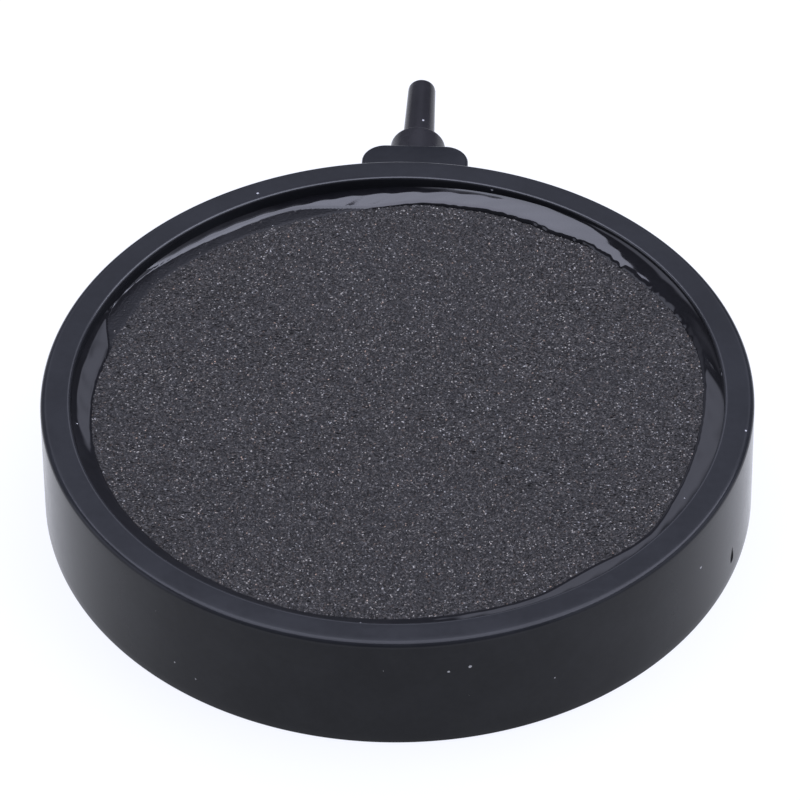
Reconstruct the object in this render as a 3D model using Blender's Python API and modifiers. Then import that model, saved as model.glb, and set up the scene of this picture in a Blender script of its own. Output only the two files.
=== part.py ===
"""Round air stone with a side inlet, for ponds and aquariums.

A moulded dish holds a disc of bonded mineral grains. The disc sits on an
adhesive bed on the dish's ledge, and a poured bead of sealant closes the gap
round it. Air comes in through a nipple glued into a boss on the dish's side,
spreads in the chamber under the disc, and leaves through the disc's pores.

Frame: +Z up, origin at the middle of the flat underside, the inlet along +Y.
Everything is in metres.
"""

import math

import bmesh
import bpy
from mathutils import Matrix, Vector

# Dish
RIM_RADIUS = 0.0535             # outer radius just under the rim's top
BASE_RADIUS = 0.0539            # the wall leans out by its moulding draft
DISH_HEIGHT = 0.0199
RIM_WIDTH = 0.0045
RIM_OUTER_ROUND = 0.0008
RIM_INNER_ROUND = 0.0003
BASE_ROUND = 0.0004
FLOOR_THICKNESS = 0.0022
LEDGE_HEIGHT = 0.0105
LEDGE_INNER_RADIUS = 0.0455
DISH_STEPS = 96

# Ribs and post that keep the disc from flexing
RIB_COUNT = 6
RIB_THICKNESS = 0.0016
RIB_INNER_END = 0.0070
RIB_OUTER_END = 0.0400
RIB_TOP = 0.0111
POST_RADIUS = 0.0030
RIB_ROOT = 0.0010               # how far ribs and post reach down into the floor

# Inlet boss on the dish's side
BOSS_HALF_WIDTH = 0.00855
BOSS_FACE = 0.06355             # distance of its outer face from the dish's axis
BOSS_TOP = 0.0148
BOSS_BACK = 0.0505              # the end that is buried in the wall
BOSS_CORNER_RADIUS = 0.0038
BOSS_EDGE_ROUND = 0.0004

# Air way
INLET_HEIGHT = 0.0084           # height of the nipple's axis
BORE_RADIUS = 0.0013
SOCKET_RADIUS = 0.0038
SOCKET_DEPTH = 0.0075

# Nipple
COLLAR_RADIUS = 0.00445
COLLAR_LENGTH = 0.00685
COLLAR_ROUND = 0.0004
TUBE_ROOT_RADIUS = 0.00258
TUBE_TIP_RADIUS = 0.00222
TUBE_LENGTH = 0.0152
TIP_ROUND = 0.0006
SPIGOT_RADIUS = 0.0028
SPIGOT_LENGTH = 0.0070
NIPPLE_STEPS = 40

# Disc of bonded grains
STONE_RADIUS = 0.0477
STONE_TOP = 0.0172
STONE_UNDERSIDE = 0.0114
STONE_EDGE_ROUND = 0.0006

# Adhesives
SEALANT_WALL_HEIGHT = 0.0179    # where the bead meets the dish's wall
SEALANT_SKIRT_DEPTH = 0.0018    # how far it runs down beside the disc
SEALANT_INNER_RADIUS = 0.0458   # mean radius of its feathered edge on the disc
SEALANT_EDGE_THICKNESS = 0.00015
BED_INNER_RADIUS = 0.0459
BED_OUTER_RADIUS = 0.0476
BOND_SLEEVE_LENGTH = 0.0060

# Mark left by the injection gate on the dish's wall
GATE_BEARING = math.radians(-19.9)   # measured from +X towards +Y
GATE_HEIGHT = 0.0050
GATE_HALF_SIZE = (0.0004, 0.0009, 0.0015)

# Clearance between pieces that touch
GAP = 0.0003

ROUND_SEGMENTS = 4
DRAFT = (BASE_RADIUS - RIM_RADIUS) / DISH_HEIGHT
RIM_INNER_RADIUS = RIM_RADIUS - RIM_WIDTH


class Finish:
    """Colour, roughness and metallic value of one material."""

    def __init__(self, name, colour, roughness, metallic=0.0):
        self.name = name
        self.colour = colour
        self.roughness = roughness
        self.metallic = metallic

    def material(self):
        """Return the Principled material with this finish."""
        material = bpy.data.materials.new(self.name)
        material.use_nodes = True
        shader = material.node_tree.nodes["Principled BSDF"]
        shader.inputs["Base Color"].default_value = (*self.colour, 1.0)
        shader.inputs["Roughness"].default_value = self.roughness
        shader.inputs["Metallic"].default_value = self.metallic
        return material


BLACK_PLASTIC = Finish("black_moulded_plastic", (0.018, 0.018, 0.021), 0.38)
NIPPLE_PLASTIC = Finish("nipple_plastic", (0.019, 0.019, 0.022), 0.34)
BONDED_GRAIN = Finish("bonded_grain", (0.045, 0.045, 0.048), 0.95)
CLEAR_SEALANT = Finish("black_sealant", (0.014, 0.014, 0.016), 0.08)
BED_ADHESIVE = Finish("bed_adhesive", (0.03, 0.03, 0.03), 0.30)
SLEEVE_ADHESIVE = Finish("sleeve_adhesive", (0.05, 0.05, 0.05), 0.30)


def clear_scene():
    """Remove every object of the start-up scene."""
    for thing in list(bpy.data.objects):
        bpy.data.objects.remove(thing, do_unlink=True)


def new_collection(name):
    """Return a new collection linked to the scene."""
    collection = bpy.data.collections.new(name)
    bpy.context.scene.collection.children.link(collection)
    return collection


def arc(centre, radius, start, end, segments=ROUND_SEGMENTS):
    """Return points of an arc in the profile plane, angles in degrees from +X."""
    points = []
    for step in range(segments + 1):
        angle = math.radians(start + (end - start) * step / segments)
        points.append((centre[0] + radius * math.cos(angle), centre[1] + radius * math.sin(angle)))
    return points


def turned(name, profile, steps, collection, finish=None):
    """Turn a closed profile of (radius, height) points about Z."""
    mesh = bpy.data.meshes.new(name)
    vertices = [(radius, 0.0, height) for radius, height in profile]
    edges = [(i, i + 1) for i in range(len(profile) - 1)]
    if profile[0][0] > 0.0:
        edges.append((len(profile) - 1, 0))
    mesh.from_pydata(vertices, edges, [])
    piece = bpy.data.objects.new(name, mesh)
    collection.objects.link(piece)
    screw = piece.modifiers.new("turn", "SCREW")
    screw.axis = "Z"
    screw.angle = math.tau
    screw.steps = steps
    screw.render_steps = steps
    screw.use_merge_vertices = True
    screw.merge_threshold = 0.00001
    if finish:
        mesh.materials.append(finish.material())
    return piece


def mesh_object(name, bm, collection, finish=None):
    """Put a bmesh into a new object."""
    mesh = bpy.data.meshes.new(name)
    bm.to_mesh(mesh)
    bm.free()
    piece = bpy.data.objects.new(name, mesh)
    collection.objects.link(piece)
    if finish:
        mesh.materials.append(finish.material())
    return piece


def as_tool(piece):
    """Hide a shape that only cuts or joins another."""
    piece.hide_render = True
    piece.display_type = "WIRE"
    return piece


def combine(piece, tool, operation):
    """Cut or join a piece with a tool shape."""
    boolean = piece.modifiers.new(tool.name, "BOOLEAN")
    boolean.operation = operation
    boolean.solver = "EXACT"
    boolean.object = tool


def apply_modifiers(piece):
    """Replace a piece's mesh by its evaluated mesh."""
    evaluated = piece.evaluated_get(bpy.context.evaluated_depsgraph_get())
    mesh = bpy.data.meshes.new_from_object(evaluated)
    piece.modifiers.clear()
    piece.data = mesh


def smooth(piece, angle=35.0):
    """Shade a piece smooth, except over edges sharper than the angle."""
    piece.data.shade_smooth()
    piece.data.set_sharp_from_angle(angle=math.radians(angle))


def cylinder(name, radius, low, high, segments, collection):
    """Return a cylinder about Z from one height to another."""
    bm = bmesh.new()
    bmesh.ops.create_cone(
        bm, cap_ends=True, segments=segments, radius1=radius, radius2=radius, depth=high - low,
        matrix=Matrix.Translation((0.0, 0.0, (low + high) / 2)),
    )
    return mesh_object(name, bm, collection)


def rib(index, collection):
    """Return one radial rib of the dish's floor."""
    angle = math.tau * index / RIB_COUNT
    length = RIB_OUTER_END - RIB_INNER_END
    low = FLOOR_THICKNESS - RIB_ROOT
    size = Matrix.Diagonal((length, RIB_THICKNESS, RIB_TOP - low, 1.0))
    middle = Matrix.Translation(((RIB_INNER_END + RIB_OUTER_END) / 2, 0.0, (RIB_TOP + low) / 2))
    bm = bmesh.new()
    bmesh.ops.create_cube(bm, size=1.0, matrix=Matrix.Rotation(angle, 4, "Z") @ middle @ size)
    return mesh_object(f"rib_{index + 1}", bm, collection)


def boss(collection):
    """Return the inlet boss: a block with round outer corners and a soft top edge."""
    width = 2 * BOSS_HALF_WIDTH
    length = BOSS_FACE - BOSS_BACK
    middle = Matrix.Translation((0.0, (BOSS_FACE + BOSS_BACK) / 2, BOSS_TOP / 2))
    bm = bmesh.new()
    bmesh.ops.create_cube(bm, size=1.0, matrix=middle @ Matrix.Diagonal((width, length, BOSS_TOP, 1.0)))
    corners = []
    for edge in bm.edges:
        first, second = (vertex.co for vertex in edge.verts)
        upright = abs(first.z - second.z) > BOSS_TOP / 2
        if upright and first.y > BOSS_FACE - GAP:
            corners.append(edge)
    bmesh.ops.bevel(
        bm, geom=corners, offset=BOSS_CORNER_RADIUS, segments=8, profile=0.5, affect="EDGES", clamp_overlap=True,
    )
    rim = []
    for edge in bm.edges:
        at_top = all(abs(vertex.co.z - BOSS_TOP) < GAP / 10 for vertex in edge.verts)
        buried = all(vertex.co.y < BOSS_BACK + GAP for vertex in edge.verts)
        if at_top and not buried:
            rim.append(edge)
    bmesh.ops.bevel(
        bm, geom=rim, offset=BOSS_EDGE_ROUND, segments=3, profile=0.5, affect="EDGES", clamp_overlap=True,
    )
    return mesh_object("boss", bm, collection)


def along_inlet(distance):
    """Return the placement that lays a turned piece along the inlet axis."""
    return Matrix.Translation((0.0, distance, INLET_HEIGHT)) @ Matrix.Rotation(-math.pi / 2, 4, "X")


def gate_pit(collection):
    """Return the small pit that the injection gate leaves in the wall."""
    radius = BASE_RADIUS - DRAFT * GATE_HEIGHT
    place = Vector((radius * math.cos(GATE_BEARING), radius * math.sin(GATE_BEARING), GATE_HEIGHT))
    turn = Matrix.Rotation(GATE_BEARING, 4, "Z")
    size = Matrix.Diagonal((*GATE_HALF_SIZE, 1.0))
    bm = bmesh.new()
    bmesh.ops.create_uvsphere(
        bm, u_segments=12, v_segments=8, radius=1.0, matrix=Matrix.Translation(place) @ turn @ size,
    )
    return mesh_object("gate_pit", bm, collection)


def dish_profile():
    """Return the dish's section, down its outer side and back through its inside."""
    inner = RIM_INNER_RADIUS
    base_side = BASE_RADIUS - DRAFT * BASE_ROUND
    top_side = RIM_RADIUS + DRAFT * RIM_OUTER_ROUND
    profile = [(0.0, FLOOR_THICKNESS), (LEDGE_INNER_RADIUS, FLOOR_THICKNESS)]
    profile += [(LEDGE_INNER_RADIUS, LEDGE_HEIGHT), (inner, LEDGE_HEIGHT)]
    profile += arc((inner + RIM_INNER_ROUND, DISH_HEIGHT - RIM_INNER_ROUND), RIM_INNER_ROUND, 180, 90, 2)
    profile += arc((top_side - RIM_OUTER_ROUND, DISH_HEIGHT - RIM_OUTER_ROUND), RIM_OUTER_ROUND, 90, 0)
    profile += arc((base_side - BASE_ROUND, BASE_ROUND), BASE_ROUND, 0, -90, 3)
    profile.append((0.0, 0.0))
    return profile


def make_housing(parts, tools):
    """Make the dish with its boss, ribs, post and air way."""
    housing = turned("housing", dish_profile(), DISH_STEPS, parts, BLACK_PLASTIC)
    additions = [boss(tools)]
    additions += [rib(index, tools) for index in range(RIB_COUNT)]
    additions.append(cylinder("post", POST_RADIUS, FLOOR_THICKNESS - RIB_ROOT, RIB_TOP, 24, tools))
    for addition in additions:
        combine(housing, as_tool(addition), "UNION")
    socket = cylinder("socket", SOCKET_RADIUS, -SOCKET_DEPTH, SOCKET_DEPTH, 32, tools)
    socket.matrix_world = along_inlet(BOSS_FACE)
    bore_length = BOSS_FACE - LEDGE_INNER_RADIUS
    bore = cylinder("bore", BORE_RADIUS, -bore_length - RIB_ROOT, 0.0, 24, tools)
    bore.matrix_world = along_inlet(BOSS_FACE)
    for cutter in (socket, bore, gate_pit(tools)):
        combine(housing, as_tool(cutter), "DIFFERENCE")
    bpy.context.view_layer.update()
    apply_modifiers(housing)
    smooth(housing)
    return housing


def make_stone(parts):
    """Make the disc of bonded grains."""
    edge = STONE_RADIUS - STONE_EDGE_ROUND
    profile = [(0.0, STONE_TOP)]
    profile += arc((edge, STONE_TOP - STONE_EDGE_ROUND), STONE_EDGE_ROUND, 90, 0, 3)
    profile += [(STONE_RADIUS, STONE_UNDERSIDE), (0.0, STONE_UNDERSIDE)]
    stone = turned("stone_disc", profile, DISH_STEPS, parts, BONDED_GRAIN)
    apply_modifiers(stone)
    smooth(stone)
    return stone


def lap_change(bearing):
    """Return how much further the bead laps over the disc at a bearing.

    The bead was poured by hand: it laps widest a little left of the inlet,
    runs on to the disc again at the left and at the front right, where the
    pour was finished, and draws back at the back right.
    """
    swells = (
        (math.radians(108), 0.0016, math.radians(20)),
        (math.radians(163), 0.0008, math.radians(9)),
        (math.radians(58), 0.0005, math.radians(8)),
        (math.radians(24), -0.0010, math.radians(14)),
        (math.radians(-10), 0.0005, math.radians(14)),
        (math.radians(-48), 0.0009, math.radians(9)),
    )
    change = 0.00012 * math.sin(3 * bearing + 0.7) + 0.00008 * math.sin(7 * bearing)
    for middle, amount, spread in swells:
        away = math.remainder(bearing - middle, math.tau)
        change += amount * math.exp(-(away / spread) ** 2)
    return change


def make_sealant(parts):
    """Make the bead that seals the gap round the disc and laps over its edge."""
    outer = RIM_INNER_RADIUS - GAP
    skirt_inner = STONE_RADIUS + GAP
    under = STONE_TOP + GAP
    bottom = STONE_TOP - SEALANT_SKIRT_DEPTH
    edge = SEALANT_INNER_RADIUS
    crown = (under + SEALANT_EDGE_THICKNESS + SEALANT_WALL_HEIGHT) / 2
    profile = [
        (edge, under),
        (edge, under + SEALANT_EDGE_THICKNESS),
        ((edge + outer) / 2, crown),
        (outer, SEALANT_WALL_HEIGHT),
        (outer, bottom),
        (skirt_inner, bottom),
        (skirt_inner, under),
    ]
    bead = turned("sealant_bead", profile, DISH_STEPS, parts, CLEAR_SEALANT)
    apply_modifiers(bead)
    for vertex in bead.data.vertices:
        radius = math.hypot(vertex.co.x, vertex.co.y)
        lap = max(0.0, (skirt_inner - radius) / (skirt_inner - edge))
        if lap > 0.0:
            moved = radius - lap * lap_change(math.atan2(vertex.co.y, vertex.co.x))
            vertex.co.x *= moved / radius
            vertex.co.y *= moved / radius
    smooth(bead)
    return bead


def make_bed(parts):
    """Make the ring of adhesive between the ledge and the disc."""
    low = LEDGE_HEIGHT + GAP
    high = STONE_UNDERSIDE - GAP
    profile = [
        (BED_INNER_RADIUS, high),
        (BED_OUTER_RADIUS, high),
        (BED_OUTER_RADIUS, low),
        (BED_INNER_RADIUS, low),
    ]
    bed = turned("bedding_ring", profile, DISH_STEPS, parts, BED_ADHESIVE)
    apply_modifiers(bed)
    smooth(bed)
    return bed


def nipple_profile():
    """Return the nipple's section; its height runs outwards from the collar's back."""
    tip = COLLAR_LENGTH + TUBE_LENGTH
    profile = [(BORE_RADIUS, tip)]
    profile += arc((TUBE_TIP_RADIUS - TIP_ROUND, tip - TIP_ROUND), TIP_ROUND, 90, 0, 3)
    profile.append((TUBE_ROOT_RADIUS, COLLAR_LENGTH))
    profile += arc((COLLAR_RADIUS - COLLAR_ROUND, COLLAR_LENGTH - COLLAR_ROUND), COLLAR_ROUND, 90, 0, 3)
    profile += [(COLLAR_RADIUS, 0.0), (SPIGOT_RADIUS, 0.0)]
    profile += [(SPIGOT_RADIUS, -SPIGOT_LENGTH), (BORE_RADIUS, -SPIGOT_LENGTH)]
    return profile


def make_nipple(parts):
    """Make the hose nipple: collar, tapered tube and the spigot inside the boss."""
    nipple = turned("inlet_nipple", nipple_profile(), NIPPLE_STEPS, parts, NIPPLE_PLASTIC)
    nipple.matrix_world = along_inlet(BOSS_FACE + GAP)
    bpy.context.view_layer.update()
    apply_modifiers(nipple)
    smooth(nipple)
    return nipple


def make_bond_sleeve(parts):
    """Make the sleeve of adhesive that holds the spigot in the boss."""
    inner = SPIGOT_RADIUS + GAP
    outer = SOCKET_RADIUS - GAP
    profile = [(inner, 0.0), (outer, 0.0), (outer, -BOND_SLEEVE_LENGTH), (inner, -BOND_SLEEVE_LENGTH)]
    sleeve = turned("nipple_bond_sleeve", profile, NIPPLE_STEPS, parts, SLEEVE_ADHESIVE)
    sleeve.matrix_world = along_inlet(BOSS_FACE)
    bpy.context.view_layer.update()
    apply_modifiers(sleeve)
    smooth(sleeve)
    return sleeve


def main():
    """Build the whole air stone."""
    clear_scene()
    parts = new_collection("air_stone")
    tools = new_collection("cutters")
    make_housing(parts, tools)
    make_stone(parts)
    make_sealant(parts)
    make_bed(parts)
    make_nipple(parts)
    make_bond_sleeve(parts)


main()
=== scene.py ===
"""Looks of a round air stone with a side inlet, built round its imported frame.

Every piece of the frame is either replaced by a finer mesh or dressed in a
finer material. Lengths are in metres, bearings in degrees from the front (-Y)
towards the right (+X), and the inlet points along +Y.
"""

import logging
import math
from dataclasses import dataclass
from enum import Enum
from typing import Callable, Sequence

import bpy
import numpy as np
from mathutils import Euler, Matrix, Vector


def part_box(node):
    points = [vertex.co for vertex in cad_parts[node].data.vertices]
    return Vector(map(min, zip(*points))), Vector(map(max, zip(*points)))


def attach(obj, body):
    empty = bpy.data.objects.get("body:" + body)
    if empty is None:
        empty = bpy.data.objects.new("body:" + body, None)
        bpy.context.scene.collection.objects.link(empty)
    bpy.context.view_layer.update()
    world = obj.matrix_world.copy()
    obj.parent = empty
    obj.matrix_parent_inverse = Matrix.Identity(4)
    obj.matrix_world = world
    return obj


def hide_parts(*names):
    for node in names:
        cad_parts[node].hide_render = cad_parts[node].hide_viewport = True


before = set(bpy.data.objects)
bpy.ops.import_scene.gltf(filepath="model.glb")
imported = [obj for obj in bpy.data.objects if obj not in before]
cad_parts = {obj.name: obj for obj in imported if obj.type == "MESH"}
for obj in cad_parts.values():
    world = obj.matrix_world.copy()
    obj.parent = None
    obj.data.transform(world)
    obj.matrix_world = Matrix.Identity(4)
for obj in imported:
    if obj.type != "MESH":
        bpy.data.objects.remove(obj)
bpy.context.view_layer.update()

ROOT = "root"
MM = 0.001
SEED = 4107

log = logging.getLogger("air_stone")

Profile = list[tuple[float, float]]
Colour = tuple[float, float, float]
Piece = bpy.types.Object
Material = bpy.types.Material
NodeTree = bpy.types.NodeTree
Socket = bpy.types.NodeSocket
Sockets = bpy.types.bpy_prop_collection


class Axis(Enum):
    """The axis that a turned piece is laid along."""

    UP = "up"
    INLET = "inlet"


class CutKind(Enum):
    """What a shaping tool does to the piece it meets."""

    JOIN = "UNION"
    CUT = "DIFFERENCE"


# --------------------------------------------------------------------------
# Mesh helpers
# --------------------------------------------------------------------------


def arc(centre: tuple[float, float], radius: float, start: float, end: float,
        segments: int) -> Profile:
    """Return points on an arc in a profile plane.

    Args:
        centre: middle of the arc as (radius, height).
        radius: the arc's radius.
        start: first angle in degrees, from the outward direction upwards.
        end: last angle in degrees.
        segments: number of straight steps.

    Returns:
        The arc's points, both ends included.
    """
    points = []
    for step in range(segments + 1):
        angle = math.radians(start + (end - start) * step / segments)
        points.append((centre[0] + radius * math.cos(angle), centre[1] + radius * math.sin(angle)))
    return points


def stretch(first: tuple[float, float], last: tuple[float, float], count: int) -> Profile:
    """Return points inside a straight run of a profile, both ends left out.

    Args:
        first: start of the run.
        last: end of the run.
        count: number of equal steps in the run.

    Returns:
        The inner points of the run.
    """
    points = []
    for step in range(1, count):
        share = step / count
        points.append((first[0] + (last[0] - first[0]) * share, first[1] + (last[1] - first[1]) * share))
    return points


def new_piece(name: str, vertices: np.ndarray, faces: Sequence[Sequence[int]]) -> Piece:
    """Make an object from vertices and faces and link it to the scene.

    Args:
        name: the piece's name.
        vertices: array of points, one row each.
        faces: vertex indices of each face.

    Returns:
        The new object, at the frame's origin.
    """
    mesh = bpy.data.meshes.new(name)
    mesh.from_pydata(vertices.tolist(), [], faces)
    mesh.update()
    piece = bpy.data.objects.new(name, mesh)
    bpy.context.scene.collection.objects.link(piece)
    return piece


def ring_faces(rings: int, around: int, closed: bool) -> list[tuple[int, int, int, int]]:
    """Return the quads between rings of points.

    Args:
        rings: number of rings.
        around: points in each ring.
        closed: whether the last ring joins the first one.

    Returns:
        Four vertex indices for each quad, facing out when rings run down the outside.
    """
    faces = []
    last = rings if closed else rings - 1
    for ring in range(last):
        here = ring * around
        there = ((ring + 1) % rings) * around
        for step in range(around):
            following = (step + 1) % around
            faces.append((here + step, there + step, there + following, here + following))
    return faces


def turn(name: str, profile: Profile, around: int, axis: Axis = Axis.UP,
         origin: Vector = Vector((0.0, 0.0, 0.0))) -> Piece:
    """Turn a closed profile into a solid of revolution.

    Args:
        name: the piece's name.
        profile: (radius, height) points, down the outer side; a profile whose
            ends both lie on the axis is capped there with single points.
        around: number of steps round the axis.
        axis: which axis the piece is laid along.
        origin: where the profile's height 0 sits.

    Returns:
        The turned piece.
    """
    on_axis = profile[0][0] == 0.0
    body = profile[1:-1] if on_axis else profile
    angles = np.linspace(0.0, math.tau, around, endpoint=False)
    rings = [np.c_[r * np.cos(angles), r * np.sin(angles), np.full(around, h)] for r, h in body]
    vertices = np.concatenate(rings)
    faces: list[Sequence[int]] = list(ring_faces(len(body), around, closed=not on_axis))
    if on_axis:
        top, bottom = len(vertices), len(vertices) + 1
        vertices = np.vstack([vertices, (0.0, 0.0, profile[0][1]), (0.0, 0.0, profile[-1][1])])
        last = (len(body) - 1) * around
        for step in range(around):
            following = (step + 1) % around
            faces.append((top, step, following))
            faces.append((bottom, last + following, last + step))
    if axis is Axis.INLET:
        vertices = np.c_[vertices[:, 0], vertices[:, 2], -vertices[:, 1]]
    return new_piece(name, vertices + np.array(origin), faces)


def reshape(piece: Piece, move: Callable[[np.ndarray], np.ndarray]) -> None:
    """Move a piece's vertices by a rule.

    Args:
        piece: the piece to change.
        move: takes the array of points and returns the new one.
    """
    count = len(piece.data.vertices)
    points = np.empty(count * 3)
    piece.data.vertices.foreach_get("co", points)
    points = move(points.reshape(-1, 3))
    piece.data.vertices.foreach_set("co", points.ravel())
    piece.data.update()


def shape_with(piece: Piece, tool: Piece, kind: CutKind) -> None:
    """Join a tool shape to a piece, or cut it out, and remove the tool.

    Args:
        piece: the piece to change.
        tool: the shape that is used up.
        kind: whether to join or to cut.
    """
    boolean = piece.modifiers.new("shape", "BOOLEAN")
    boolean.operation = kind.value
    boolean.solver = "EXACT"
    boolean.object = tool
    apply_modifiers(piece)
    bpy.data.objects.remove(tool, do_unlink=True)


def apply_modifiers(piece: Piece) -> None:
    """Replace a piece's mesh by its evaluated mesh.

    Args:
        piece: the piece to change.
    """
    bpy.context.view_layer.update()
    evaluated = piece.evaluated_get(bpy.context.evaluated_depsgraph_get())
    mesh = bpy.data.meshes.new_from_object(evaluated)
    piece.modifiers.clear()
    piece.data = mesh


def soften(piece: Piece, sharp_angle: float) -> None:
    """Shade a piece smooth except over edges sharper than an angle.

    Args:
        piece: the piece to shade.
        sharp_angle: the angle in degrees.
    """
    piece.data.shade_smooth()
    piece.data.set_sharp_from_angle(angle=math.radians(sharp_angle))


def at_bearing(bearing: float, radius: float, height: float) -> Vector:
    """Return the point at a bearing, radius and height."""
    angle = math.radians(bearing)
    return Vector((radius * math.sin(angle), -radius * math.cos(angle), height))


def ring_at(angle: np.ndarray, radius: float | np.ndarray, height: float | np.ndarray) -> np.ndarray:
    """Return a ring of points at angles from the front, with one radius and height or one for each."""
    return np.c_[radius * np.sin(angle), -radius * np.cos(angle), np.broadcast_to(height, angle.shape)]


def wave(angle: np.ndarray, parts: Sequence[tuple[int, float, float]]) -> np.ndarray:
    """Return a sum of sine waves round a circle.

    Args:
        angle: angles in radians.
        parts: (waves in a turn, height, phase in radians) of each sine.

    Returns:
        The sum at each angle.
    """
    return sum(height * np.sin(count * angle + phase) for count, height, phase in parts)


def dress(piece: Piece, *finishes: Material) -> None:
    """Give a piece its finishes, in place of any that it has.

    Args:
        piece: the piece to dress.
        *finishes: the finishes, in the order that its faces count them.
    """
    piece.data.materials.clear()
    for finish in finishes:
        piece.data.materials.append(finish)


def settle(piece: Piece, nodes: Sequence[str]) -> Piece:
    """Ride a finished piece on the frame and say what it stands for.

    Args:
        piece: the finished piece.
        nodes: the frame's nodes that it replaces.

    Returns:
        The same piece.
    """
    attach(piece, ROOT)
    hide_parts(*nodes)
    log.info("%s: %d faces, stands for %s", piece.name, len(piece.data.polygons), ", ".join(nodes))
    return piece


# --------------------------------------------------------------------------
# Shader helpers and shared effects
# --------------------------------------------------------------------------


class Shader:
    """A small writer of shader nodes for a material or a group."""

    def __init__(self, tree: NodeTree) -> None:
        """Write into a node tree."""
        self.tree = tree

    def node(self, kind: str, **settings: object) -> bpy.types.Node:
        """Add a node.

        Args:
            kind: the node's type name.
            **settings: attributes to set on the node.

        Returns:
            The new node.
        """
        made = self.tree.nodes.new(kind)
        for key, value in settings.items():
            setattr(made, key, value)
        return made

    def feed(self, target: Socket, source: object) -> None:
        """Link a socket to a target, or set the target's own value.

        Args:
            target: the input to feed.
            source: a socket or a value.
        """
        if isinstance(source, Socket):
            self.tree.links.new(source, target)
        else:
            target.default_value = source

    def math(self, operation: str, first: object, second: object = 0.0) -> Socket:
        """Return the result of a math node on two sockets or numbers.

        Args:
            operation: the node's operation.
            first: a socket or a number.
            second: a socket or a number.

        Returns:
            The result.
        """
        made = self.node("ShaderNodeMath", operation=operation)
        self.feed(made.inputs[0], first)
        self.feed(made.inputs[1], second)
        return made.outputs[0]

    def times(self, first: object, second: object) -> Socket:
        """Return the product of two sockets or numbers."""
        return self.math("MULTIPLY", first, second)

    def remap(self, value: object, low: float, high: float, to_low: object = 0.0,
              to_high: object = 1.0) -> Socket:
        """Return a value spread smoothly from one range to another and held at its ends.

        Args:
            value: the value.
            low: one end of its range.
            high: the other end.
            to_low: what the first end becomes.
            to_high: what the other end becomes.

        Returns:
            The spread value.
        """
        made = self.node("ShaderNodeMapRange", interpolation_type="SMOOTHSTEP")
        for socket, source in zip(made.inputs[:5], (value, low, high, to_low, to_high)):
            self.feed(socket, source)
        return made.outputs[0]

    def spread(self, value: object, low: float, high: float) -> Socket:
        """Return a value of 0 to 1 spread smoothly between two others."""
        return self.remap(value, 0.0, 1.0, low, high)

    def within(self, value: object, low: float, high: float, soft: float) -> Socket:
        """Return 1 between two limits and 0 past them, with soft ends."""
        past_low = self.remap(value, low - soft, low + soft)
        return self.times(past_low, self.remap(value, high + soft, high - soft))

    def noise(self, vector: object, scale: object, detail: float = 2.0) -> Socket:
        """Return a noise value at a scale in waves a metre."""
        return self.noise_node(vector, scale, detail).outputs["Fac"]

    def noise_node(self, vector: object, scale: object, detail: float) -> bpy.types.Node:
        """Return a noise node at a scale in waves a metre.

        Args:
            vector: the place to read it at.
            scale: its waves a metre.
            detail: how many finer layers it has.

        Returns:
            The node.
        """
        made = self.node("ShaderNodeTexNoise")
        self.feed(made.inputs["Vector"], vector)
        self.feed(made.inputs["Scale"], scale)
        self.feed(made.inputs["Detail"], detail)
        return made

    def cells(self, vector: object, scale: object, feature: str = "F1") -> bpy.types.Node:
        """Return a cell pattern at a scale in cells a metre.

        Args:
            vector: the place to read it at.
            scale: its cells a metre.
            feature: what of the cells it gives.

        Returns:
            The node.
        """
        made = self.node("ShaderNodeTexVoronoi", feature=feature)
        self.feed(made.inputs["Vector"], vector)
        self.feed(made.inputs["Scale"], scale)
        return made

    def shaken(self, vector: object, scale: object, detail: float, reach: float) -> Socket:
        """Return a place pushed about by noise, so that a pattern laid there loses its straight edges.

        Args:
            vector: the place.
            scale: the noise's scale in waves a metre.
            detail: the noise's detail.
            reach: how far the noise pushes, in metres.

        Returns:
            The pushed place.
        """
        push = self.node("ShaderNodeVectorMath", operation="SCALE")
        self.feed(push.inputs[0], self.noise_node(vector, scale, detail).outputs["Color"])
        self.feed(push.inputs["Scale"], reach)
        moved = self.node("ShaderNodeVectorMath", operation="ADD")
        self.feed(moved.inputs[0], vector)
        self.feed(moved.inputs[1], push.outputs[0])
        return moved.outputs[0]

    def split(self, kind: str, source: object) -> Sockets:
        """Return the parts that a separating node of some kind takes a socket into.

        Args:
            kind: the node's type name.
            source: the colour or vector to take apart.

        Returns:
            The parts, by name or by number.
        """
        made = self.node(kind)
        self.feed(made.inputs[0], source)
        return made.outputs

    def blend(self, share: object, first: object, second: object, how: str = "MIX") -> Socket:
        """Return a blend of two colours by a share.

        Args:
            share: how far the second one counts.
            first: a colour.
            second: a colour.
            how: the node's way of blending.

        Returns:
            The blended colour.
        """
        made = self.node("ShaderNodeMix", data_type="RGBA", blend_type=how)
        self.feed(made.inputs[0], share)
        self.feed(made.inputs[6], first)
        self.feed(made.inputs[7], second)
        return made.outputs[2]

    def ramp(self, value: object, stops: Sequence[tuple[float, Colour]]) -> Socket:
        """Return a colour looked up on a ramp.

        Args:
            value: where to look, 0 to 1.
            stops: (place, colour) pairs in order.

        Returns:
            The colour socket.
        """
        made = self.node("ShaderNodeValToRGB")
        elements = made.color_ramp.elements
        while len(elements) < len(stops):
            elements.new(0.5)
        for element, (place, colour) in zip(elements, stops):
            element.position = place
            element.color = opaque(colour)
        self.feed(made.inputs[0], value)
        return made.outputs[0]


def opaque(colour: Colour, factor: float = 1.0) -> tuple[float, float, float, float]:
    """Return a colour made darker or lighter by a factor, with full opacity."""
    return (*(part * factor for part in colour), 1.0)


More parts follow.
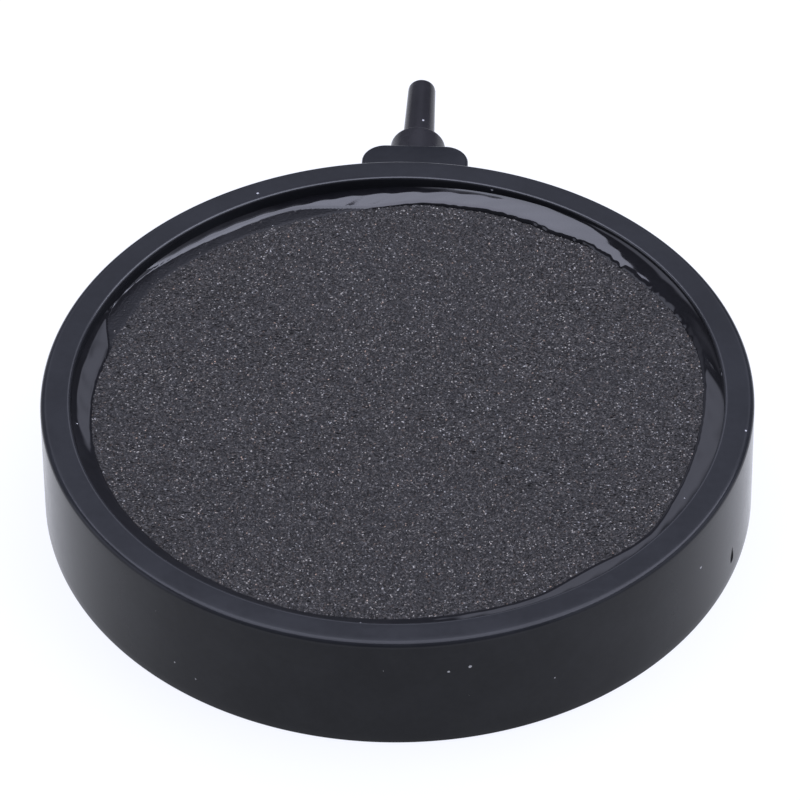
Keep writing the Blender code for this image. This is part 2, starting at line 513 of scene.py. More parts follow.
def new_group(name: str, numbers: dict[str, float],
              result: str) -> tuple[NodeTree, Shader, Sockets, Socket]:
    """Make an empty shader group that takes a place and some numbers and gives one value.

    Args:
        name: the group's name.
        numbers: the default of each number that it takes, by name.
        result: the name of the value that it gives.

    Returns:
        The group, a writer for it, its input sockets by name and the socket to feed the value to.
    """
    group = bpy.data.node_groups.new(name, "ShaderNodeTree")
    group.interface.new_socket(name="Vector", in_out="INPUT", socket_type="NodeSocketVector")
    for label, default in numbers.items():
        socket = group.interface.new_socket(name=label, in_out="INPUT", socket_type="NodeSocketFloat")
        socket.default_value = default
    group.interface.new_socket(name=result, in_out="OUTPUT", socket_type="NodeSocketFloat")
    write = Shader(group)
    given = write.node("NodeGroupInput").outputs
    return group, write, given, write.node("NodeGroupOutput").inputs[result]


@dataclass(frozen=True)
class SharedEffects:
    """Node groups that several finishes use."""

    dust: NodeTree
    mottle: NodeTree
    scratches: NodeTree

    @classmethod
    def build(cls) -> "SharedEffects":
        """Build every shared group once."""
        return cls(dust=cls._dust(), mottle=cls._mottle(), scratches=cls._scratches())

    @staticmethod
    def _dust() -> NodeTree:
        """Build a mask of sparse pale specks of uneven size.

        Returns:
            The group.
        """
        numbers = {"Scale": 300.0, "Amount": 0.04, "Size": 0.1}
        group, write, given, mask = new_group("dust_specks", numbers, "Mask")
        shake_scale, shake_reach, least_size = 5200.0, 0.00018, 0.25
        place = write.shaken(given["Vector"], shake_scale, 1.0, shake_reach)
        cells = write.cells(place, given["Scale"])
        pick = write.split("ShaderNodeSeparateColor", cells.outputs["Color"])
        chosen = write.math("LESS_THAN", pick[0], given["Amount"])
        reach = write.times(given["Size"], write.math("ADD", pick[1], least_size))
        near = write.math("LESS_THAN", cells.outputs["Distance"], reach)
        write.feed(mask, write.times(chosen, near))
        return group

    @staticmethod
    def _mottle() -> NodeTree:
        """Build a soft two-scale variation between 0 and 1.

        Returns:
            The group.
        """
        group, write, given, value = new_group("soft_mottle", {"Scale": 90.0}, "Value")
        finer, broad_share = 9.0, 0.7
        broad = write.noise(given["Vector"], given["Scale"], 3.0)
        fine = write.noise(given["Vector"], write.times(given["Scale"], finer))
        total = write.math("ADD", write.times(broad, broad_share), write.times(fine, 1.0 - broad_share))
        write.feed(value, write.remap(total, 0.3, 0.7))
        return group

    @staticmethod
    def _scratches() -> NodeTree:
        """Build a mask of sparse hairline scratches.

        Returns:
            The group.
        """
        group, write, given, mask = new_group("hairline_scratches", {"Scale": 60.0, "Width": 0.01}, "Mask")
        shake_scale, shake_reach, patch_scale, patch_edge = 0.6, 0.012, 3.1, (0.56, 0.64)
        place = write.shaken(given["Vector"], write.times(given["Scale"], shake_scale), 2.0, shake_reach)
        lines = write.cells(place, given["Scale"], "DISTANCE_TO_EDGE")
        thin = write.math("LESS_THAN", lines.outputs["Distance"], given["Width"])
        patch = write.noise(given["Vector"], write.times(given["Scale"], patch_scale), 1.0)
        write.feed(mask, write.times(thin, write.remap(patch, *patch_edge)))
        return group


def start_material(name: str) -> tuple[Material, Shader, bpy.types.Node, Socket]:
    """Make a material with a Principled shader.

    Args:
        name: the material's name.

    Returns:
        The material, a writer for its tree, its Principled node and the piece's own coordinates.
    """
    material = bpy.data.materials.new(name)
    material.use_nodes = True
    write = Shader(material.node_tree)
    surface = material.node_tree.nodes["Principled BSDF"]
    place = write.node("ShaderNodeTexCoord").outputs["Object"]
    return material, write, surface, place


def use_group(write: Shader, group: NodeTree, **values: object) -> bpy.types.Node:
    """Place a shared group and set its inputs.

    Args:
        write: the writer of the tree to place it in.
        group: the group.
        **values: a socket or a value for each named input.

    Returns:
        The group's node.
    """
    made = write.node("ShaderNodeGroup", node_tree=group)
    for label, value in values.items():
        write.feed(made.inputs[label], value)
    return made


def bump(write: Shader, height: object, depth: float, under: object = None) -> Socket:
    """Return a bumped normal.

    Args:
        write: the writer of the material's tree.
        height: the height socket.
        depth: the relief's depth in metres.
        under: another normal to build on.

    Returns:
        The normal socket.
    """
    made = write.node("ShaderNodeBump")
    made.inputs["Strength"].default_value = 1.0
    made.inputs["Distance"].default_value = depth
    write.feed(made.inputs["Height"], height)
    if under is not None:
        write.feed(made.inputs["Normal"], under)
    return made.outputs["Normal"]


# --------------------------------------------------------------------------
# Finishes
# --------------------------------------------------------------------------


@dataclass(frozen=True)
class Dust:
    """Pale dust lying on a finish."""

    colour: Colour
    scale: float
    amount: float
    size: float
    roughness: float

    def lay(self, write: Shader, shared: SharedEffects, place: Socket, tone: Socket,
            rough: Socket) -> tuple[Socket, Socket]:
        """Lay the dust over a finish.

        Args:
            write: the writer of the material's tree.
            shared: the shared node groups.
            place: the place on the piece.
            tone: the clean finish's colour.
            rough: the clean finish's roughness.

        Returns:
            The dusty finish's colour and roughness.
        """
        mask = use_group(write, shared.dust, Vector=place, Scale=self.scale, Amount=self.amount,
                         Size=self.size).outputs["Mask"]
        dusty = write.math("MAXIMUM", rough, write.times(mask, self.roughness))
        return write.blend(mask, tone, opaque(self.colour)), dusty


@dataclass(frozen=True)
class MouldedPlastic:
    """Satin black moulding with faint flow marks, hairlines, dust and burnished rim edges."""

    name: str
    colour: Colour = (0.0160, 0.0168, 0.0190)
    tone_range: tuple[float, float] = (0.86, 1.16)
    mottle_scale: float = 95.0
    roughness: float = 0.17
    roughness_spread: float = 0.05
    ior: float = 1.20
    edges: tuple[tuple[float, float, float], ...] = (
        (48.9 * MM, 49.42 * MM, 0.65), (52.55 * MM, 53.5 * MM, 0.16))
    edge_level: float = 19.1 * MM
    edge_softness: float = 0.06 * MM
    edge_roughness: float = 0.14
    skin_scale: float = 2600.0
    skin_depth: float = 0.0000012
    flow_scale: float = 55.0
    flow_depth: float = 0.000012
    hair_colour: Colour = (0.05, 0.05, 0.055)
    hair_scale: float = 70.0
    hair_width: float = 0.006
    hair_share: float = 0.015
    hair_roughness: float = 0.03
    dust: Dust = Dust((0.42, 0.42, 0.43), scale=330.0, amount=0.28, size=0.07, roughness=0.9)

    def burnish(self, write: Shader, place: Socket) -> Socket:
        """Return how far handling has burnished the rim's two rounded edges.

        Args:
            write: the writer of the material's tree.
            place: the place on the piece.

        Returns:
            The burnish, 0 away from the edges.
        """
        parts = write.split("ShaderNodeSeparateXYZ", place)
        across, along = (write.math("POWER", parts[axis], 2.0) for axis in ("X", "Y"))
        radius = write.math("SQRT", write.math("ADD", across, along))
        mask: object = 0.0
        for inner, outer, gloss in self.edges:
            band = write.within(radius, inner, outer, self.edge_softness)
            mask = write.math("MAXIMUM", mask, write.times(band, gloss))
        return write.times(mask, write.math("GREATER_THAN", parts["Z"], self.edge_level))

    def build(self, shared: SharedEffects) -> Material:
        """Build the material.

        Args:
            shared: the shared node groups.

        Returns:
            The finished material.
        """
        material, write, surface, place = start_material(self.name)
        mottle = use_group(write, shared.mottle, Vector=place, Scale=self.mottle_scale).outputs["Value"]
        hairs = use_group(write, shared.scratches, Vector=place, Scale=self.hair_scale,
                          Width=self.hair_width).outputs["Mask"]
        dark, light = (opaque(self.colour, factor) for factor in self.tone_range)
        tone = write.blend(write.times(hairs, self.hair_share), write.blend(mottle, dark, light),
                           opaque(self.hair_colour))
        half = self.roughness_spread / 2
        satin = write.spread(mottle, self.roughness - half, self.roughness + half)
        rough = write.math("ADD", satin, write.times(hairs, self.hair_roughness))
        tone, rough = self.dust.lay(write, shared, place, tone, rough)
        write.feed(surface.inputs["Base Color"], tone)
        write.feed(surface.inputs["Roughness"], rough)
        surface.inputs["IOR"].default_value = self.ior
        write.feed(surface.inputs["Coat Weight"], self.burnish(write, place))
        surface.inputs["Coat Roughness"].default_value = self.edge_roughness
        normal = bump(write, write.noise(place, self.flow_scale, 1.0), self.flow_depth)
        normal = bump(write, write.noise(place, self.skin_scale), self.skin_depth, normal)
        write.feed(surface.inputs["Normal"], normal)
        return material


@dataclass(frozen=True)
class BondedGrain:
    """Dark bonded mineral grains of mixed tone: chipped lumps, the palest few partly pale grains and partly
    painted glints.
    """

    name: str = "bonded_grain"
    grain_scale: float = 5200.0
    grain_tones_and_glints: tuple[tuple[float, Colour], ...] = (
        (0.00, (0.0023, 0.0021, 0.0020)),
        (0.22, (0.0080, 0.0074, 0.0070)),
        (0.50, (0.0176, 0.0162, 0.0155)),
        (0.74, (0.0341, 0.0316, 0.0300)),
        (0.90, (0.0640, 0.0594, 0.0555)),
        (0.970, (0.123, 0.115, 0.106)),
        # The palest stop is partly pale grains and partly painted glints: bright colour that stands in for
        # facets catching the light.
        (0.995, (0.340, 0.322, 0.295)),
    )
    tints: tuple[tuple[float, Colour], ...] = (
        (0.00, (0.90, 0.95, 1.04)),
        (0.45, (1.0, 1.0, 1.0)),
        (0.90, (1.0, 0.99, 0.96)),
        (0.985, (1.25, 0.92, 0.74)),
    )
    patch_colour: Colour = (0.02, 0.02, 0.022)
    patch_scale: float = 60.0
    patch_share: float = 0.14
    roughness: tuple[float, float] = (0.50, 0.92)
    ior: float = 1.42
    chip_fineness: float = 2.2
    chip_height: float = 0.6
    bump_depth: float = 0.00009

    def build(self, shared: SharedEffects) -> Material:
        """Build the material.

        Args:
            shared: the shared node groups.

        Returns:
            The finished material.
        """
        material, write, surface, place = start_material(self.name)
        grain = write.cells(place, self.grain_scale)
        pick = write.split("ShaderNodeSeparateColor", grain.outputs["Color"])
        tone, tint = write.ramp(pick[0], self.grain_tones_and_glints), write.ramp(pick[1], self.tints)
        tinted = write.blend(1.0, tone, tint, "MULTIPLY")
        patch = use_group(write, shared.mottle, Vector=place, Scale=self.patch_scale).outputs["Value"]
        shaded = write.blend(write.spread(patch, 0.0, self.patch_share), tinted, opaque(self.patch_colour))
        write.feed(surface.inputs["Base Color"], shaded)
        write.feed(surface.inputs["Roughness"], write.spread(pick[2], *self.roughness))
        surface.inputs["IOR"].default_value = self.ior
        chips = write.noise(place, self.grain_scale * self.chip_fineness)
        lumps = write.math("SUBTRACT", 1.0, grain.outputs["Distance"])
        height = write.math("ADD", lumps, write.times(chips, self.chip_height))
        write.feed(surface.inputs["Normal"], bump(write, height, self.bump_depth))
        return material


@dataclass(frozen=True)
class WetSealant:
    """Cured black sealant: smooth and glassy, with soft waves, a fine grain and a little dust."""

    name: str = "cured_sealant"
    colour: Colour = (0.0060, 0.0060, 0.0072)
    tone_range: tuple[float, float] = (0.8, 1.3)
    mottle_scale: float = 160.0
    roughness: float = 0.04
    roughness_spread: float = 0.04
    ior: float = 1.5
    wave_scale: float = 150.0
    wave_detail: float = 1.5
    wave_depth: float = 0.00004
    grain_scale: float = 2600.0
    grain_depth: float = 0.0000005
    dust: Dust = Dust((0.4, 0.4, 0.4), scale=420.0, amount=0.15, size=0.06, roughness=0.8)

    def build(self, shared: SharedEffects) -> Material:
        """Build the material.

        Args:
            shared: the shared node groups.

        Returns:
            The finished material.
        """
        material, write, surface, place = start_material(self.name)
        mottle = use_group(write, shared.mottle, Vector=place, Scale=self.mottle_scale).outputs["Value"]
        dark, light = (opaque(self.colour, factor) for factor in self.tone_range)
        gloss = write.spread(mottle, self.roughness, self.roughness + self.roughness_spread)
        tone, rough = self.dust.lay(write, shared, place, write.blend(mottle, dark, light), gloss)
        write.feed(surface.inputs["Base Color"], tone)
        write.feed(surface.inputs["Roughness"], rough)
        surface.inputs["IOR"].default_value = self.ior
        normal = bump(write, write.noise(place, self.wave_scale, self.wave_detail), self.wave_depth)
        normal = bump(write, write.noise(place, self.grain_scale), self.grain_depth, normal)
        write.feed(surface.inputs["Normal"], normal)
        return material


@dataclass(frozen=True)
class CuredAdhesive:
    """Hidden adhesive: slightly milky, with pits where bubbles broke."""

    name: str
    colour: Colour
    roughness: float = 0.3
    smoother: float = 0.08
    rougher: float = 0.1
    mottle_scale: float = 220.0
    milk_gain: float = 1.6
    milk_lift: float = 0.01
    bubble_scale: float = 1400.0
    pit_width: float = 0.35
    pit_depth: float = 0.00004

    def build(self, shared: SharedEffects) -> Material:
        """Build the material.

        Args:
            shared: the shared node groups.

        Returns:
            The finished material.
        """
        material, write, surface, place = start_material(self.name)
        mottle = use_group(write, shared.mottle, Vector=place, Scale=self.mottle_scale).outputs["Value"]
        pale = tuple(part * self.milk_gain + self.milk_lift for part in self.colour)
        write.feed(surface.inputs["Base Color"], write.blend(mottle, opaque(self.colour), opaque(pale)))
        write.feed(surface.inputs["Roughness"],
                   write.spread(mottle, self.roughness - self.smoother, self.roughness + self.rougher))
        pits = write.remap(write.cells(place, self.bubble_scale).outputs["Distance"], 0.0, self.pit_width)
        write.feed(surface.inputs["Normal"], bump(write, pits, self.pit_depth))
        return material


@dataclass(frozen=True)
class StudioFloor:
    """Plain pale floor paint."""

    name: str = "pale_floor"
    colour: Colour = (0.11, 0.11, 0.11)
    shade: float = 0.985
    paint_scale: float = 6.0
    roughness: float = 0.9
    gloss: float = 0.1
    glow_colour: Colour = (1.0, 1.02, 1.11)
    glow: float = 0.87

    def build(self) -> Material:
        """Build the material.

        Returns:
            The finished material.
        """
        material, write, surface, place = start_material(self.name)
        share = write.remap(write.noise(place, self.paint_scale), 0.2, 0.8)
        tone = write.blend(share, opaque(self.colour, self.shade), opaque(self.colour))
        write.feed(surface.inputs["Base Color"], tone)
        surface.inputs["Roughness"].default_value = self.roughness
        surface.inputs["Specular IOR Level"].default_value = self.gloss
        surface.inputs["Emission Color"].default_value = opaque(self.glow_colour)
        surface.inputs["Emission Strength"].default_value = self.glow
        return material


# --------------------------------------------------------------------------
# Sub-assemblies
# --------------------------------------------------------------------------


@dataclass
class Dish:
    """The moulded dish: floor, drafted wall, flat rim, ledge, ribs, middle post and inlet boss."""

    draft: float = 0.0004
    rim_width: float = 4.5 * MM
    rim_outer_round: float = 0.8 * MM
    rim_inner_round: float = 0.34 * MM
    base_round: float = 0.4 * MM
    floor: float = 2.2 * MM
    ledge_height: float = 10.5 * MM
    ledge_inner: float = 45.5 * MM
    boss_half_width: float = 8.55 * MM
    boss_height: float = 14.8 * MM
    boss_corner: float = 3.8 * MM
    boss_edge_round: float = 0.55 * MM
    boss_back: float = 50.5 * MM
    bore_radius: float = 1.3 * MM
    socket_radius: float = 3.8 * MM
    socket_depth: float = 7.5 * MM
    gate_bearing: float = 70.1
    gate_height: float = 5.0 * MM
    gate_half_length: float = 1.7 * MM
    gate_half_width: float = 0.95 * MM
    gate_depth_share: float = 0.55
    ribs: int = 6
    rib_reach: tuple[float, float] = (7.0 * MM, 40.0 * MM)
    rib_thickness: float = 1.6 * MM
    rib_taper: float = 0.8
    rib_top: float = 11.1 * MM
    post_radius: float = 3.0 * MM
    post_chamfer: float = 0.3 * MM
    sharp_angle: float = 28.0
    around: int = 512

    def __post_init__(self) -> None:
        """Take the places that the frame gives."""
        low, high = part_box("housing")
        inlet_low, inlet_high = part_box("inlet_nipple")
        self.base_radius = high.x
        self.height = high.z
        self.boss_face = high.y
        self.rim_radius = self.base_radius - self.draft
        self.rim_inner = self.rim_radius - self.rim_width
        self.inlet_height = (inlet_low.z + inlet_high.z) / 2

    def section(self) -> Profile:
        """Draw the dish's section.

        Returns:
            Its points, from the floor's middle over the rim to the base.
        """
        inner = self.rim_inner
        rim, base = self.rim_outer_round, self.base_round
        points = [(0.0, self.floor), (self.ledge_inner, self.floor), (self.ledge_inner, self.ledge_height),
                  (inner, self.ledge_height)]
        points += stretch((inner, self.ledge_height), (inner, self.height), 6)
        small = self.rim_inner_round
        points += arc((inner + small, self.height - small), small, 180, 90, 6)
        points += stretch((inner + small, self.height), (self.rim_radius - rim, self.height), 4)
        points += arc((self.rim_radius - rim, self.height - rim), rim, 90, 0, 12)
        points += stretch((self.rim_radius, self.height - rim), (self.base_radius, base), 14)
        points += arc((self.base_radius - base, base), base, 0, -90, 6)
        points += stretch((self.base_radius - base, 0.0), (0.0, 0.0), 6)
        points.append((0.0, 0.0))
        return points

    def boss_outline(self, inset: float) -> list[tuple[float, float]]:
        """Return the boss's outline seen from above, drawn in by an inset.

        Args:
            inset: how far inside the full outline.

        Returns:
            (x, y) points, anticlockwise from the back right.
        """
        half = self.boss_half_width - inset
        face = self.boss_face - inset
        corner = self.boss_corner - inset
        points = [(half, self.boss_back)]
        points += arc((half - corner, face - corner), corner, 0, 90, 14)
        points += arc((-half + corner, face - corner), corner, 90, 180, 14)
        points.append((-half, self.boss_back))
        return points

    def boss(self) -> Piece:
        """Loft the boss from its outline, with a rounded top edge.

        Returns:
            The boss.
        """
        edge = self.boss_edge_round
        levels = [(0.0, 0.0), (0.0, self.boss_height - edge)]
        for r, h in arc((edge, self.boss_height - edge), edge, 180, 90, 6)[1:]:
            levels.append((r, h))
        rings = [np.array([(x, y, h) for x, y in self.boss_outline(inset)]) for inset, h in levels]
        around = len(rings[0])
        vertices = np.concatenate(rings)
        faces: list[Sequence[int]] = []
        for a, b, c, d in ring_faces(len(rings), around, closed=False):
            faces.append((a, d, c, b))
        faces.append(tuple(range(around - 1, -1, -1)))
        faces.append(tuple(range(len(vertices) - around, len(vertices))))
        return new_piece("boss", vertices, faces)

    def rib(self, index: int) -> Piece:
        """Return one of the ribs that carry the disc.

        Args:
            index: which rib, counted from the right.

        Returns:
            The rib, rooted in the floor.
        """
        near, far = self.rib_reach
        corners = []
        for half, height in ((self.rib_thickness / 2, self.floor - MM),
                             (self.rib_thickness / 2 * self.rib_taper, self.rib_top)):
            corners += [(near, -half, height), (far, -half, height)]
            corners += [(far, half, height), (near, half, height)]
        faces = [(3, 2, 1, 0), (4, 5, 6, 7), (0, 1, 5, 4), (1, 2, 6, 5), (2, 3, 7, 6), (3, 0, 4, 7)]
        rib = new_piece("rib", np.array(corners), faces)
        rib.data.transform(Matrix.Rotation(math.tau * index / self.ribs, 4, "Z"))
        return rib

    def post(self) -> Piece:
        """Turn the middle post that carries the disc.

        Returns:
            The post, rooted in the floor.
        """
        low, top = self.floor - MM, self.rib_top
        radius, chamfer = self.post_radius, self.post_chamfer
        profile = [(0.0, top), (radius - chamfer, top), (radius, top - chamfer), (radius, low), (0.0, low)]
        return turn("post", profile, 48)

    def gate_pit(self) -> Piece:
        """Turn the teardrop that the injection gate tore out of the wall.

        Returns:
            The shape to cut out.
        """
        share = self.gate_height / self.height
        radius = self.base_radius - self.draft * share
        middle = at_bearing(self.gate_bearing, radius, self.gate_height)
        half = self.gate_half_length
        profile = [(0.0, half)]
        for t in np.linspace(0.0, math.pi, 17)[1:-1]:
            teardrop = math.sin(t) * (0.55 - 0.45 * math.cos(t))
            profile.append((self.gate_half_width * teardrop, half * math.cos(t)))
        profile.append((0.0, -half))
        pit = turn("gate_pit", profile, 24)
        turned = Matrix.Rotation(math.radians(self.gate_bearing), 4, "Z")
        flat = Matrix.Diagonal((1.0, self.gate_depth_share, 1.0, 1.0))
        pit.data.transform(Matrix.Translation(middle) @ turned @ flat)
        return pit

    def build(self, plastic: Material) -> Piece:
        """Build and dress the dish.

        Args:
            plastic: the dish's finish.

        Returns:
            The finished piece.
        """
        dish = turn("dish_moulding", self.section(), self.around)
        shape_with(dish, self.boss(), CutKind.JOIN)
        for index in range(self.ribs):
            shape_with(dish, self.rib(index), CutKind.JOIN)
        shape_with(dish, self.post(), CutKind.JOIN)
        at_face = Vector((0.0, self.boss_face, self.inlet_height))
        air_way = self.boss_face - self.ledge_inner + MM
        for name, radius, above, depth, around in (
                ("socket", self.socket_radius, MM, self.socket_depth, 48),
                ("bore", self.bore_radius, 0.0, air_way, 32)):
            profile = [(0.0, above), (radius, above), (radius, -depth), (0.0, -depth)]
            shape_with(dish, turn(name, profile, around, Axis.INLET, at_face), CutKind.CUT)
        shape_with(dish, self.gate_pit(), CutKind.CUT)
        soften(dish, self.sharp_angle)
        dress(dish, plastic)
        return settle(dish, ["housing"])


@dataclass
class StoneDisc:
    """The disc of bonded grains, with its relief as real geometry."""

    cells_across: int = 304
    jitter: float = 0.36
    grain_relief: float = 0.14 * MM
    grain_shape: tuple[float, float] = (2.2, 1.6)
    swell_relief: float = 0.05 * MM
    swell_scale: tuple[float, float] = (410.0, 370.0)
    edge_round: float = 0.6 * MM
    side_rows: int = 4

    def __post_init__(self) -> None:
        """Take the disc's place from the frame."""
        low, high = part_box("stone_disc")
        self.radius = high.x
        self.top = high.z
        self.underside = low.z

    def disc_grid(self, random: np.random.Generator) -> tuple[np.ndarray, np.ndarray]:
        """Return plan positions of a square grid bent into a disc.

        Args:
            random: the source of jitter.

        Returns:
            Arrays of x and y, one entry for each grid point.
        """
        steps = self.cells_across + 1
        side = np.linspace(-1.0, 1.0, steps)
        a, b = np.meshgrid(side, side, indexing="ij")
        inside = np.zeros_like(a, bool)
        inside[1:-1, 1:-1] = True
        cell = 2.0 / self.cells_across
        a = np.where(inside, a + random.uniform(-self.jitter, self.jitter, a.shape) * cell, a)
        b = np.where(inside, b + random.uniform(-self.jitter, self.jitter, b.shape) * cell, b)
        wide = np.abs(a) > np.abs(b)
        with np.errstate(divide="ignore", invalid="ignore"):
            radius = np.where(wide, a, b)
            angle = np.where(wide, math.pi / 4 * b / a, math.pi / 2 - math.pi / 4 * a / b)
        angle = np.nan_to_num(angle)
        x, y = radius * np.cos(angle) * self.radius, radius * np.sin(angle) * self.radius
        return x.ravel(), y.ravel()

    def heights(self, x: np.ndarray, y: np.ndarray, random: np.random.Generator) -> np.ndarray:
        """Return the height of the broken grain surface at each point.

        Args:
            x: plan positions.
            y: plan positions.
            random: the source of the grains.

        Returns:
            Heights above the frame's base.
        """
        grain = random.beta(*self.grain_shape, x.shape) - 0.5
        swell = (wave(x * self.swell_scale[0], [(1, 0.5, 0.3), (2, 0.3, 1.9)])
                 * wave(y * self.swell_scale[1], [(1, 0.6, 1.1), (2, 0.4, 2.7)]))
        height = self.top + grain * 2 * self.grain_relief + swell * self.swell_relief
        out = np.clip(np.hypot(x, y) - (self.radius - self.edge_round), 0.0, self.edge_round)
        return height - (self.edge_round - np.sqrt(np.maximum(self.edge_round ** 2 - out ** 2, 0.0)))

    def build(self, finish: Material) -> Piece:
        """Build and dress the disc.

        Args:
            finish: the grain material.

        Returns:
            The finished piece.
        """
        random = np.random.default_rng(SEED)
        x, y = self.disc_grid(random)
        top = np.c_[x, y, self.heights(x, y, random)]
        steps = self.cells_across + 1
        index = np.arange(steps * steps).reshape(steps, steps)
        a, b = index[:-1, :-1].ravel(), index[1:, :-1].ravel()
        c, d = index[1:, 1:].ravel(), index[:-1, 1:].ravel()
        flip = random.random(a.shape) < 0.5
        first = np.where(flip[:, None], np.c_[a, b, c], np.c_[a, b, d])
        second = np.where(flip[:, None], np.c_[a, c, d], np.c_[b, c, d])
        faces: list[Sequence[int]] = np.concatenate([first, second]).tolist()
        loop = np.concatenate([index[:-1, 0], index[-1, :-1], index[:0:-1, -1], index[0, :0:-1]])
        rings = [loop]
        vertices = [top]
        total = len(top)
        edge = top[loop]
        for row in range(1, self.side_rows + 1):
            share = row / self.side_rows
            ring = edge.copy()
            ring[:, 2] = edge[:, 2] + (self.underside - edge[:, 2]) * share
            if row < self.side_rows:
                ring[:, :2] *= 1.0 - random.uniform(0.0, self.grain_relief / self.radius, (len(ring), 1))
            vertices.append(ring)
            rings.append(np.arange(total, total + len(ring)))
            total += len(ring)
        for upper, lower in zip(rings[:-1], rings[1:]):
            following_upper, following_lower = np.roll(upper, -1), np.roll(lower, -1)
            faces += np.c_[upper, lower, following_lower, following_upper].tolist()
        faces.append(rings[-1][::-1].tolist())
        stone = new_piece("stone_grain_disc", np.concatenate(vertices), faces)
        dress(stone, finish)
        return settle(stone, ["stone_disc"])


@dataclass(frozen=True)
class PourPoint:
    """How the sealant lies at one bearing.

    It has an inner edge, a climb up the wall and a power that says how late it climbs. A film is the share
    of its width that only wets the grains, a lift raises its crest, and ragged says how uneven its edge is.
    """

    bearing: float
    inner_radius: float
    wall_depth: float
    climb_power: float
    film: float = 0.0
    lift: float = 0.0
    ragged: float = 0.55


POUR = (
    PourPoint(0.0, 45.6 * MM, 1.30 * MM, 1.2),
    PourPoint(16.0, 45.4 * MM, 1.95 * MM, 2.6),
    PourPoint(28.0, 45.6 * MM, 2.00 * MM, 3.0),
    PourPoint(40.0, 44.9 * MM, 2.05 * MM, 3.0),
    PourPoint(54.0, 46.2 * MM, 2.05 * MM, 2.6),
    PourPoint(66.0, 45.5 * MM, 2.10 * MM, 2.6),
    PourPoint(81.0, 45.3 * MM, 2.10 * MM, 2.6),
    PourPoint(96.0, 46.1 * MM, 1.95 * MM, 2.2),
    PourPoint(106.0, 46.7 * MM, 1.25 * MM, 1.3),
    PourPoint(118.0, 46.5 * MM, 0.92 * MM, 1.2, ragged=1.3),
    PourPoint(128.0, 46.0 * MM, 0.88 * MM, 1.3, ragged=2.0),
    PourPoint(136.0, 45.8 * MM, 0.84 * MM, 1.3, ragged=2.2),
    PourPoint(142.0, 46.0 * MM, 0.98 * MM, 1.25, lift=0.15 * MM, ragged=2.0),
    PourPoint(150.0, 45.3 * MM, 1.20 * MM, 1.1, lift=0.30 * MM, ragged=1.6),
    PourPoint(160.0, 45.6 * MM, 1.40 * MM, 1.1, lift=0.32 * MM, ragged=1.4),
    PourPoint(169.0, 45.5 * MM, 1.55 * MM, 1.1, lift=0.28 * MM, ragged=1.2),
    PourPoint(178.0, 45.6 * MM, 1.78 * MM, 1.1, lift=0.10 * MM, ragged=1.2),
    PourPoint(186.0, 44.8 * MM, 1.92 * MM, 1.1),
    PourPoint(193.0, 44.4 * MM, 2.00 * MM, 1.1, 0.25),
    PourPoint(203.0, 44.2 * MM, 2.12 * MM, 1.0, 0.64),
    PourPoint(217.0, 44.6 * MM, 2.12 * MM, 1.0, 0.60),
    PourPoint(230.0, 45.2 * MM, 2.18 * MM, 1.0, 0.76),
    PourPoint(237.0, 45.6 * MM, 2.20 * MM, 1.0, 0.93),
    PourPoint(248.0, 45.0 * MM, 2.10 * MM, 2.0, 0.92),
    PourPoint(258.0, 45.1 * MM, 1.90 * MM, 5.0, 0.08),
    PourPoint(268.0, 45.5 * MM, 1.80 * MM, 6.0),
    PourPoint(280.0, 45.9 * MM, 1.60 * MM, 4.0),
    PourPoint(290.0, 46.1 * MM, 1.30 * MM, 1.3),
    PourPoint(310.0, 46.1 * MM, 1.25 * MM, 1.15),
    PourPoint(345.0, 46.0 * MM, 1.25 * MM, 1.15),
)


